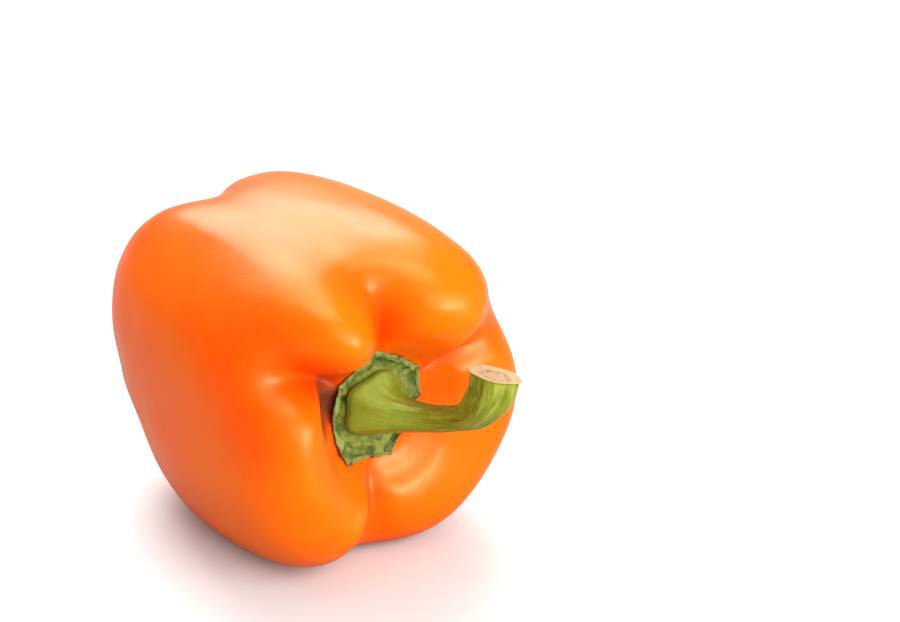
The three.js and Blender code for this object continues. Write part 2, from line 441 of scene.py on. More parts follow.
@dataclass(frozen=True)
class Blotches:
    """Soft blotches: how many to a metre, how ragged, and from which noise levels they start and fill."""

    scale: float
    detail: float
    low: float
    high: float


@dataclass
class Shading(Wiring):
    """A material being wired round its Principled shader."""

    def __post_init__(self) -> None:
        """Makes the material with a bare Principled shader."""
        self.material = bpy.data.materials.new(self.name)
        self.material.use_nodes = True
        self.tree = self.material.node_tree
        self.shader = next(n for n in self.tree.nodes if n.type == "BSDF_PRINCIPLED")

    def set(self, **values: object) -> None:
        """Sets the shader's own sockets, with underscores for the spaces in their names."""
        for key, value in values.items():
            self.shader.inputs[key.replace("_", " ")].default_value = value

    def feed(self, socket: bpy.types.NodeSocket, name: str) -> None:
        """Links a varying value to one of the shader's sockets."""
        self.link(socket, self.shader.inputs[name])

    def place(self) -> bpy.types.NodeSocket:
        """The object's own coordinates, in metres."""
        return self.node("ShaderNodeTexCoord").outputs["Object"]

    def attribute(self, name: str, vector: bool = False) -> bpy.types.NodeSocket:
        """A value stored on the mesh."""
        made = self.node("ShaderNodeAttribute", attribute_name=name)
        return made.outputs["Vector" if vector else "Fac"]

    def blotches(self, where: bpy.types.NodeSocket, kind: Blotches) -> bpy.types.NodeSocket:
        """The shared blotch effect.

        Args:
            where: The coordinates that it follows.
            kind: The blotches' size, raggedness and levels.

        Returns:
            The mask, 0 to 1.
        """
        group = self.node("ShaderNodeGroup", node_tree=blotch_group())
        self.link(where, group.inputs["Vector"])
        values = {"Scale": kind.scale, "Detail": kind.detail, "Low": kind.low, "High": kind.high}
        for name, value in values.items():
            group.inputs[name].default_value = value
        return group.outputs["Mask"]

    def mix(self, factor: bpy.types.NodeSocket, start: object, end: object) -> bpy.types.NodeSocket:
        """Mixes two colours, each a socket or a colour.

        Args:
            factor: How much of the second.
            start: The first colour.
            end: The second colour.

        Returns:
            The mixed colour.
        """
        made = self.node("ShaderNodeMix", data_type="RGBA")
        self.link(factor, made.inputs[0])
        for index, value in ((6, start), (7, end)):
            if isinstance(value, bpy.types.NodeSocket):
                self.link(value, made.inputs[index])
            else:
                made.inputs[index].default_value = (*value, 1.0)
        return made.outputs[2]

    def level(
        self, source: bpy.types.NodeSocket, end: Range, start: Range = (0.0, 1.0)
    ) -> bpy.types.NodeSocket:
        """Takes a value from one range to another.

        Args:
            source: The value.
            end: The new range, which may run downwards.
            start: The range that the value has.

        Returns:
            The value in its new range, clamped.
        """
        made = self.node("ShaderNodeMapRange")
        self.link(source, made.inputs["Value"])
        for name, value in zip(("From Min", "From Max", "To Min", "To Max"), (*start, *end)):
            made.inputs[name].default_value = value
        return made.outputs["Result"]

    def over(
        self, color: object, coat: Color, mask: bpy.types.NodeSocket, share: object
    ) -> bpy.types.NodeSocket:
        """Lays a second colour over a first where a mask says so.

        Args:
            color: The first colour, a socket or a colour.
            coat: The colour laid over it.
            mask: Where it lies, 0 to 1.
            share: How much of it shows at most, a number or a socket.

        Returns:
            The coated colour.
        """
        return self.mix(self.math("MULTIPLY", mask, share), color, coat)

    def bump(self, height: bpy.types.NodeSocket, distance: float) -> None:
        """Roughens the surface.

        Args:
            height: The height, 0 to 1.
            distance: The real height that 1 stands for.
        """
        made = self.node("ShaderNodeBump")
        made.inputs["Distance"].default_value = distance
        made.inputs["Strength"].default_value = 1.0
        self.link(height, made.inputs["Height"])
        self.feed(made.outputs["Normal"], "Normal")


def blotch_group() -> bpy.types.NodeTree:
    """The soft blotches that all the pepper's finishes use, built once.

    Returns:
        The node group.
    """
    name = "soft_blotches"
    if name in bpy.data.node_groups:
        return bpy.data.node_groups[name]
    group = bpy.data.node_groups.new(name, "ShaderNodeTree")
    interface = group.interface
    interface.new_socket("Vector", in_out="INPUT", socket_type=Socket.VECTOR.value)
    for socket in ("Scale", "Detail", "Low", "High"):
        interface.new_socket(socket, in_out="INPUT", socket_type=Socket.FLOAT.value)
    interface.new_socket("Mask", in_out="OUTPUT", socket_type=Socket.FLOAT.value)
    entry = group.nodes.new("NodeGroupInput")
    noise = group.nodes.new("ShaderNodeTexNoise")
    level = group.nodes.new("ShaderNodeMapRange")
    level.interpolation_type = "SMOOTHSTEP"
    out = group.nodes.new("NodeGroupOutput")
    for socket in ("Vector", "Scale", "Detail"):
        group.links.new(entry.outputs[socket], noise.inputs[socket])
    group.links.new(noise.outputs["Fac"], level.inputs["Value"])
    group.links.new(entry.outputs["Low"], level.inputs["From Min"])
    group.links.new(entry.outputs["High"], level.inputs["From Max"])
    group.links.new(level.outputs["Result"], out.inputs["Mask"])
    return group


@dataclass(frozen=True)
class SkinFinish:
    """The waxy orange skin."""

    ripe: Color = (0.95, 0.13, 0.0006)
    yellow: Color = (0.95, 0.19, 0.001)
    # Deeper red for painted shade in the furrows and on the flank by the calyx
    furrow: Color = (0.9, 0.082, 0.0008)
    scar: Color = (0.3, 0.17, 0.07)
    # Corky brown with painted shadow, for the pit by the calyx
    hollow: Color = (0.2, 0.06, 0.025)
    patches: Blotches = Blotches(32.0, 2.0, 0.38, 0.68)
    patch_share: float = 0.55
    painted_light_share: float = 0.75
    furrow_shade_share: float = 0.7
    wax: Blotches = Blotches(60.0, 3.0, 0.3, 0.7)
    roughness: Range = (0.29, 0.36)
    scar_roughness: float = 0.4
    waves: Blotches = Blotches(75.0, 2.0, 0.0, 1.0)
    pores: Blotches = Blotches(900.0, 1.0, 0.0, 1.0)
    pore_share: float = 0.12
    wave_height: float = 0.22 * MM

    def material(self) -> bpy.types.Material:
        """Wires the skin: ripe orange with yellower patches, painted light that turns the lit shoulders
        yellower, painted shade that deepens the furrows, a corky scar, and corky brown with painted shadow
        in the pit by the calyx.

        Returns:
            The finished material.
        """
        s = Shading("orange_skin")
        s.set(IOR=1.33, Specular_Tint=(1.0, 0.74, 0.46, 1.0))
        s.set(Subsurface_Weight=0.12, Subsurface_Scale=4 * MM, Subsurface_Radius=(1.0, 0.35, 0.08))
        where = s.place()
        color = s.over(self.ripe, self.yellow, s.blotches(where, self.patches), self.patch_share)
        # Painted light: the lit shoulders and the upper lobe turned yellower
        color = s.over(color, self.yellow, s.attribute("sunny"), self.painted_light_share)
        # Painted shade: deeper red in the furrows and on the flank
        color = s.over(color, self.furrow, s.attribute("furrow"), self.furrow_shade_share)
        color = s.mix(s.attribute("scar"), color, self.scar)
        # Corky brown and painted shadow in the pit by the calyx
        color = s.mix(s.attribute("hollow"), color, self.hollow)
        s.feed(color, "Base Color")
        rough = s.level(s.blotches(where, self.wax), self.roughness)
        scar = s.math("MULTIPLY", s.attribute("scar"), self.scar_roughness)
        s.feed(s.math("ADD", rough, scar), "Roughness")
        pores = s.math("MULTIPLY", s.blotches(where, self.pores), self.pore_share)
        s.bump(s.math("ADD", s.blotches(where, self.waves), pores), self.wave_height)
        return s.material


@dataclass(frozen=True)
class CalyxFinish:
    """The crinkled collar: mottled green with a pale, here and there brown, edge."""

    leaf: Color = (0.14, 0.18, 0.02)
    pale: Color = (0.26, 0.29, 0.06)
    # Dark green for the specks, and for painted shade in the folds
    dark: Color = (0.04, 0.075, 0.006)
    edge: Color = (0.25, 0.29, 0.09)
    brown: Color = (0.1, 0.06, 0.02)
    mottle: Blotches = Blotches(420.0, 4.0, 0.35, 0.65)
    specks: Blotches = Blotches(700.0, 3.0, 0.55, 0.72)
    speck_share: float = 0.8
    fold_shade_share: float = 0.75
    edge_wear: Blotches = Blotches(900.0, 3.0, 0.3, 0.7)
    least_edge: float = 0.5
    tip_wear: Blotches = Blotches(500.0, 3.0, 0.3, 0.6)
    sheen: Blotches = Blotches(800.0, 3.0, 0.3, 0.7)
    roughness: Range = (0.42, 0.62)
    crinkles: Blotches = Blotches(1300.0, 5.0, 0.2, 0.8)
    crinkle_height: float = 0.18 * MM

    def material(self) -> bpy.types.Material:
        """Wires the leaf: mottled green, with painted shade in its folds, pale at its edge and brown at
        its tips.

        Returns:
            The finished material.
        """
        s = Shading("calyx_leaf")
        s.set(IOR=1.4, Specular_IOR_Level=0.3, Subsurface_Weight=0.05, Subsurface_Scale=1 * MM)
        where = s.place()
        color = s.mix(s.blotches(where, self.mottle), self.leaf, self.pale)
        color = s.over(color, self.dark, s.blotches(where, self.specks), self.speck_share)
        # Painted shade: the folds' low places darkened
        color = s.over(color, self.dark, s.attribute("fold"), self.fold_shade_share)
        wear = s.level(s.blotches(where, self.edge_wear), (self.least_edge, 1.0))
        color = s.over(color, self.edge, s.attribute("edge"), wear)
        color = s.over(color, self.brown, s.attribute("tip"), s.blotches(where, self.tip_wear))
        s.feed(color, "Base Color")
        s.feed(s.level(s.blotches(where, self.sheen), self.roughness), "Roughness")
        s.bump(s.blotches(where, self.crinkles), self.crinkle_height)
        return s.material


@dataclass(frozen=True)
class StalkFinish:
    """The stalk's satin skin: olive at the foot, fresher green at the hook, streaked along its ribs."""

    olive: Color = (0.185, 0.215, 0.016)
    green: Color = (0.215, 0.235, 0.02)
    pale: Color = (0.35, 0.36, 0.06)
    dark: Color = (0.09, 0.14, 0.006)
    rim: Color = (0.17, 0.24, 0.025)
    streaks: Blotches = Blotches(2.4, 3.0, 0.4, 0.62)
    streak_share: Range = (0.22, 0.65)
    lines: Blotches = Blotches(7.0, 2.0, 0.48, 0.62)
    line_share: Range = (0.12, 0.55)
    mottle: Blotches = Blotches(380.0, 3.0, 0.5, 0.7)
    mottle_share: float = 0.3
    foot_wear: Blotches = Blotches(500.0, 3.0, 0.35, 0.65)
    least_foot: float = 0.45
    lip_share: float = 0.8
    roughness: Range = (0.38, 0.5)
    ribbing: Blotches = Blotches(6.0, 3.0, 0.25, 0.75)
    rib_height: float = 0.12 * MM

    def material(self) -> bpy.types.Material:
        """Wires the stalk's skin, with streaks and lines that grow stronger towards the hook.

        Returns:
            The finished material.
        """
        s = Shading("stalk_skin")
        s.set(IOR=1.42, Specular_Tint=(0.9, 1.0, 0.5, 1.0))
        s.set(Subsurface_Weight=0.08, Subsurface_Scale=1.5 * MM)
        where = s.place()
        grain = s.attribute("grain", vector=True)
        hook = s.attribute("hook")
        streaks = s.blotches(grain, self.streaks)
        color = s.mix(hook, self.olive, self.green)
        color = s.over(color, self.pale, streaks, s.level(hook, self.streak_share))
        color = s.over(color, self.dark, s.blotches(grain, self.lines), s.level(hook, self.line_share))
        color = s.over(color, self.pale, s.blotches(where, self.mottle), self.mottle_share)
        wear = s.level(s.blotches(where, self.foot_wear), (self.least_foot, 1.0))
        color = s.over(color, self.rim, s.attribute("foot"), wear)
        color = s.over(color, self.pale, s.attribute("lip"), self.lip_share)
        s.feed(color, "Base Color")
        s.feed(s.level(streaks, self.roughness), "Roughness")
        s.bump(s.blotches(grain, self.ribbing), self.rib_height)
        return s.material


@dataclass(frozen=True)
class CutFinish:
    """The stalk's cut end: cream flesh with a tan ring and a paler pith."""

    cream: Color = (0.5, 0.33, 0.17)
    tan: Color = (0.2, 0.085, 0.035)
    pith: Color = (0.45, 0.29, 0.14)
    pith_edge: Range = (0.25, 0.4)
    ring_inside: Range = (0.34, 0.46)
    ring_outside: Range = (0.56, 0.66)
    ring_share: float = 0.9
    ring_wear: Blotches = Blotches(900.0, 3.0, 0.3, 0.7)
    least_ring: float = 0.35
    stains: Blotches = Blotches(1600.0, 3.0, 0.5, 0.7)
    stain_share: float = 0.3
    damp: Blotches = Blotches(1200.0, 3.0, 0.3, 0.7)
    roughness: Range = (0.55, 0.75)
    tear: Blotches = Blotches(2200.0, 4.0, 0.2, 0.8)
    tear_height: float = 0.15 * MM

    def material(self) -> bpy.types.Material:
        """Wires the cut flesh, with its ring and pith placed by the part of the radius.

        Returns:
            The finished material.
        """
        s = Shading("cut_flesh")
        s.set(IOR=1.38, Subsurface_Weight=0.15, Subsurface_Scale=1 * MM)
        where = s.place()
        out = s.attribute("cut_radius")
        inside = s.level(out, (0.0, 1.0), self.ring_inside)
        outside = s.level(out, (1.0, 0.0), self.ring_outside)
        wear = s.level(s.blotches(where, self.ring_wear), (self.least_ring, 1.0))
        ring = s.math("MULTIPLY", s.math("MULTIPLY", inside, outside), wear)
        color = s.mix(s.level(out, (1.0, 0.0), self.pith_edge), self.cream, self.pith)
        color = s.over(color, self.tan, ring, self.ring_share)
        color = s.over(color, self.tan, s.blotches(where, self.stains), self.stain_share)
        s.feed(color, "Base Color")
        s.feed(s.level(s.blotches(where, self.damp), self.roughness), "Roughness")
        s.bump(s.blotches(where, self.tear), self.tear_height)
        return s.material


@dataclass(frozen=True)
class StrandFinish:
    """The cut strands round the pith."""

    strand: Color = (0.42, 0.27, 0.12)
    light: Color = (0.7, 0.52, 0.28)
    mottle: Blotches = Blotches(1500.0, 2.0, 0.35, 0.65)
    damp: Blotches = Blotches(1500.0, 2.0, 0.3, 0.7)
    roughness: Range = (0.6, 0.8)

    def material(self) -> bpy.types.Material:
        """Wires the strands' flesh, some browner than others.

        Returns:
            The finished material.
        """
        s = Shading("cut_strand")
        s.set(IOR=1.38)
        where = s.place()
        s.feed(s.mix(s.blotches(where, self.mottle), self.strand, self.light), "Base Color")
        s.feed(s.level(s.blotches(where, self.damp), self.roughness), "Roughness")
        return s.material


@dataclass(frozen=True)
class FloorFinish:
    """The plain white surface, which throws less light back on the pepper than the eye sees."""

    white: Color = (0.78, 0.78, 0.78)
    thrown: Color = (0.42, 0.42, 0.42)

    def material(self) -> bpy.types.Material:
        """Wires the plain matte white.

        Returns:
            The finished material.
        """
        s = Shading("white_floor")
        s.set(Roughness=0.8, Specular_IOR_Level=0.1)
        seen = s.node("ShaderNodeLightPath").outputs["Is Camera Ray"]
        s.feed(s.mix(seen, self.thrown, self.white), "Base Color")
        return s.material


# The fruit


@dataclass(frozen=True)
class Furrow:
    """A furrow between two lobes.

    Attributes:
        angle: Its angle at the shoulder, the waist and the foot.
        depth: Its depth there, where 1 is the whole way to the furrow's profile.
        columns: How many columns of the solid's mesh lie between it and the next one.
    """

    angle: tuple[float, float, float]
    depth: tuple[float, float, float]
    columns: int


@dataclass(frozen=True)
class Station:
    """How stout the fruit is at an angle.

    Attributes:
        angle: The angle.
        girth: The part of the radius at the shoulder, the waist and the foot.
        rise: How far the shoulder rises, in millimetres.
        reach: How far the foot reaches past its profile, in millimetres.
        sunk: How far the shoulder sinks to the furrow's profile, 0 to 1.
    """

    angle: float
    girth: tuple[float, float, float]
    rise: float
    reach: float
    sunk: float = 0.0


@dataclass(frozen=True)
class Swelling:
    """A soft swelling or dent.

    Attributes:
        angle: The angle of its middle.
        at: How far along the profile its middle lies, 0 at the stem end to 1.
        width: Its spread in degrees.
        length: Its spread along the profile.
        height: Its height in millimetres, below 0 for a dent.
    """

    angle: float
    at: float
    width: float
    length: float
    height: float


@dataclass(frozen=True)
class Fruit:
    """The fleshy four-lobed body."""

    crest: Profile = Profile(
        [(0, 25), (6, 25), (11.5, 25.6), (15.5, 30.5), (20.5, 36.5), (27.5, 38.5), (35, 34.5), (40, 26.5),
         (42.5, 15), (43.3, 2), (42.6, -11), (40, -24), (35, -35.5), (27, -43), (17, -43.5), (8.5, -38),
         (3, -35), (0, -34.6)]
    )
    furrow: Profile = Profile(
        [(0, 25), (6, 25), (11.5, 25.2), (15.5, 26.2), (20, 28), (25.5, 28.6), (31, 26.5), (35.2, 21),
         (37, 12), (37.4, 1), (36.8, -10), (34.6, -21), (30, -29.5), (22.5, -34), (14.5, -35.4),
         (8.5, -35.2), (3, -34.8), (0, -34.6)]
    )
    furrows: tuple[Furrow, ...] = (
        Furrow((-100, -96, -92), (1, 0.55, 1), 24),
        Furrow((27, 22, 20), (1.1, 0.6, 1), 14),
        Furrow((91, 99, 117), (1.15, 0.5, 1.6), 12),
        Furrow((143, 152, 160), (1.4, 0.35, 0.8), 22),
    )
    furrow_width: tuple[float, float, float] = (12, 24, 16)
    furrow_roundness: tuple[float, float, float] = (0.15, 0.7, 0.3)
    stations: tuple[Station, ...] = (
        Station(-95, (0.97, 0.92, 0.91), -1.5, 0, 0.6),
        Station(-64, (1.045, 0.915, 0.95), -1, 0, 0.75),
        Station(-35, (0.98, 0.925, 0.93), -1.5, 0, 0.8),
        Station(-5, (1.02, 0.965, 0.97), -2, 0, 0.8),
        Station(18, (1, 0.95, 1), -2, 0, 0.6),
        Station(50, (1.03, 0.965, 1.02), 0, 0),
        Station(78, (1.02, 0.93, 1.06), 0, 0.6),
        Station(100, (1.01, 0.955, 1.14), 0, 1.2),
        Station(124, (1.02, 1.01, 1.24), 0.8, 3),
        Station(146, (1.03, 1.03, 1.2), 0, 3),
        Station(190, (0.96, 0.87, 0.86), 0, 0),
        Station(236, (0.985, 0.98, 0.94), -0.3, 0),
    )
    swellings: tuple[Swelling, ...] = (
        Swelling(-115, 0.26, 9, 0.07, 1),
        Swelling(122, 0.27, 15, 0.07, 1.4),
        Swelling(206, 0.28, 14, 0.05, 0.6),
        Swelling(172, 0.42, 16, 0.14, -1.2),
        Swelling(208, 0.66, 12, 0.07, -1),
        Swelling(232, 0.58, 13, 0.12, 1.3),
        Swelling(-8, 0.6, 18, 0.1, -0.8),
        Swelling(61, 0.56, 14, 0.13, -1),
        Swelling(-60, 0.74, 18, 0.07, 0.9),
    )
    pit: Swelling = Swelling(163, 0.15, 14, 0.06, -2.6)
    # Places along the profile, 0 to 1. A band is a middle and a spread, and a side the same in degrees
    waist: Range = (0.5, 0.55)
    foot: float = 0.88
    furrow_start: float = 0.2
    girth_fade: float = 0.7
    rise_band: Range = (0.3, 0.12)
    reach_band: Range = (0.78, 0.12)
    sunk_end: Range = (0.28, 0.46)
    # Painted shade on the flank round the furrow at 160 degrees
    painted_shade_side: Range = (160, 30)
    painted_shade_band: Range = (0.38, 0.06)
    # Where light is painted: yellower on the lit shoulders and on the stem end of the upper lobe
    painted_light_side: Range = (58, 34)
    painted_light_band: Range = (0.28, 0.1)
    painted_light_lobes: tuple[tuple[float, float, float], ...] = ((-40, 40, 0.6), (120, 16, 0.9), (180, 30, 0.45))
    # Corky brown and painted shadow in the pit by the calyx
    cork_and_shadow_side: Range = (160, 20)
    paint_start: Range = (0.02, 0.1)
    paint_end: Range = (0.97, 1.0)
    painted_light_fade: Range = (0.35, 0.9)
    scar_edge: Range = (0.968, 0.985)
    cork_and_shadow_start: Range = (0.02, 0.06)
    cork_and_shadow_end: Range = (0.19, 0.225)
    ripple_start: Range = (0.12, 0.2)
    ripple_height: Range = (0.2 * MM, 4 * MM)
    slope_step: float = 0.001
    rows: int = 176
    finer: int = 4
    unevenness: float = 0.24 * MM

    def along(self, values: tuple[float, float, float], s: np.ndarray, start: float = 0.12) -> np.ndarray:
        """A value that goes from one at the shoulder to one at the waist and one at the foot.

        Args:
            values: The value at the shoulder, the waist and the foot.
            s: Places from 0 at the stem end to 1 at the blossom end.
            start: Where the value starts to leave the shoulder's.

        Returns:
            The value at each place.
        """
        shoulder, waist, foot = values
        to_waist = smoothstep(s, start, self.waist[0])
        to_foot = smoothstep(s, self.waist[1], self.foot)
        return shoulder + (waist - shoulder) * to_waist + (foot - waist) * to_foot

    def cleft(self, angle: np.ndarray, s: np.ndarray) -> np.ndarray:
        """How deep in a furrow each place lies.

        Args:
            angle: Angles round the axis.
            s: Places from 0 at the stem end to 1 at the blossom end.

        Returns:
            About 0 on a crest and 1 in a furrow.
        """
        width = self.along(self.furrow_width, s, self.furrow_start)
        roundness = self.along(self.furrow_roundness, s, self.furrow_start)
        cleft = np.zeros_like(s)
        for furrow in self.furrows:
            away = turn(self.along(furrow.angle, s), angle) / width
            depth = self.along(furrow.depth, s, self.furrow_start)
            cleft += (1 - np.tanh(np.hypot(away, roundness) - roundness)) * depth
        return cleft

    def section(self, angle: np.ndarray, s: np.ndarray, pit: bool = False) -> np.ndarray:
        """The fruit's profile.

        Args:
            angle: Angles round the axis.
            s: Places from 0 at the stem end to 1 at the blossom end.
            pit: Whether the pit that the calyx bridges is taken out too.

        Returns:
            Radius and height along the axis of each place, in millimetres.
        """
        crest, furrow = self.crest.at(s), self.furrow.at(s)
        before, after, part = bracket([station.angle for station in self.stations], angle)
        blend = smoothstep(part, 0.0, 1.0)
        girths = np.stack([self.along(station.girth, s) for station in self.stations])
        pick = np.indices(s.shape)
        girth = girths[(before, *pick)] * (1 - blend) + girths[(after, *pick)] * blend
        ends = np.array([(station.rise, station.reach, station.sunk) for station in self.stations])
        between = ends[before] * (1 - blend)[..., None] + ends[after] * blend[..., None]
        rise, reach, sunk = np.moveaxis(between, -1, 0)
        point = crest.copy()
        point[..., 0] *= 1 + (girth - 1) * np.sin(np.pi * s).clip(0.0) ** self.girth_fade
        point[..., 1] += rise * bell(s, *self.rise_band) - reach * bell(s, *self.reach_band)
        cleft = self.cleft(angle, s)
        cleft += sunk * (1 - smoothstep(s, *self.sunk_end)) * (1 - np.minimum(cleft, 1))
        point += (furrow - crest) * cleft[..., None]
        step = self.slope_step
        ahead = self.crest.at(np.minimum(s + step, 1)) - self.crest.at(np.maximum(s - step, 0))
        ahead /= np.linalg.norm(ahead, axis=-1, keepdims=True)
        normal = np.stack([-ahead[..., 1], ahead[..., 0]], -1)
        swellings = (*self.swellings, self.pit) if pit else self.swellings
        for swelling in swellings:
            across = turn(swelling.angle, angle) / swelling.width
            down = (s - swelling.at) / swelling.length
            point += normal * (swelling.height * np.exp(-across * across - down * down))[..., None]
        return point

    def build(self) -> bpy.types.Object:
        """Lofts the skin, with its columns along the furrows and its resting spots pressed flat.

        Returns:
            The fruit's skin.
        """
        starts = np.cumsum([0] + [furrow.columns * self.finer for furrow in self.furrows])
        column = np.arange(starts[-1])
        lobe = np.searchsorted(starts, column, side="right") - 1
        part = (column - starts[lobe]) / (starts[lobe + 1] - starts[lobe])
        s = np.repeat(np.linspace(0.0, 1.0, self.rows + 1)[:, None], len(column), axis=1)
        lines = np.stack([self.along(furrow.angle, s[:, 0]) for furrow in self.furrows])
        lines = np.vstack([lines, lines[:1] + 360.0])
        angle = lines[lobe].T * (1 - part) + lines[lobe + 1].T * part
        section = self.section(angle, s, pit=True)
        rows = on_axis(section[..., 0], section[..., 1], angle)
        rows[..., 2] = np.maximum(rows[..., 2], 0.0)
        obj = loft("pepper_fruit", rows)
        self.mark(obj, angle, s, rows)
        return obj

    def mark(self, obj: bpy.types.Object, angle: np.ndarray, s: np.ndarray, rows: np.ndarray) -> None:
        """Keeps on each point what the finish and the relief read there.

        Args:
            obj: The fruit's skin.
            angle: Each point's angle round the axis.
            s: Each point's place along the profile.
            rows: The points, in metres.
        """
        cleft = np.clip(self.cleft(angle, s), 0.0, 1.0)
        ends = smoothstep(s, *self.paint_start) * (1 - smoothstep(s, *self.paint_end))
        # Painted shade: the furrows' depth and a band round the furrow at 160 degrees, stored as furrow
        # for the skin to turn deeper red
        painted_shade_angle, painted_shade_spread = self.painted_shade_side
        painted_shade = bell(turn(painted_shade_angle, angle), 0.0, painted_shade_spread, 4) * bell(s, *self.painted_shade_band)
        store(obj, "furrow", np.clip(cleft**2 + painted_shade, 0.0, 1.0) * ends)
        # Painted light: where light falls on the shoulders and on the stem end of the lobe at 58 degrees,
        # stored for the skin to turn yellower
        painted_light_angle, painted_light_spread = self.painted_light_side
        sunny = bell(turn(painted_light_angle, angle), 0.0, painted_light_spread)
        sunny *= 1 - smoothstep(s, *self.painted_light_fade)
        for middle, spread, share in self.painted_light_lobes:
            sunny += share * bell(turn(middle, angle), 0.0, spread) * bell(s, *self.painted_light_band)
        store(obj, "sunny", np.clip(sunny, 0.0, 1.0))
        store(obj, "scar", smoothstep(s, *self.scar_edge))
        # Corky brown and painted shadow in the pit beside the calyx
        cork_and_shadow_angle, cork_and_shadow_spread = self.cork_and_shadow_side
        hollow = bell(turn(cork_and_shadow_angle, angle), 0.0, cork_and_shadow_spread, 4)
        hollow *= smoothstep(s, *self.cork_and_shadow_start) * (1 - smoothstep(s, *self.cork_and_shadow_end))
        store(obj, "hollow", hollow)
        store(obj, "relief_place", rows)
        clear = smoothstep(rows[..., 2], *self.ripple_height)
        store(obj, "relief_mask", clear * smoothstep(s, *self.ripple_start))

    def dress(self, obj: bpy.types.Object, relief: GeometryTree) -> None:
        """Gives the skin its soft unevenness and its finish.

        Args:
            obj: The lofted skin.
            relief: The tree that makes low relief.
        """
        values = {"Depth": self.unevenness, "Scale": 55.0, "Detail": 1.0, "Seed": 3.0}
        relief.apply(obj, {**values, "Material": SkinFinish().material()})
        finish_piece(obj, "fruit")


# The calyx


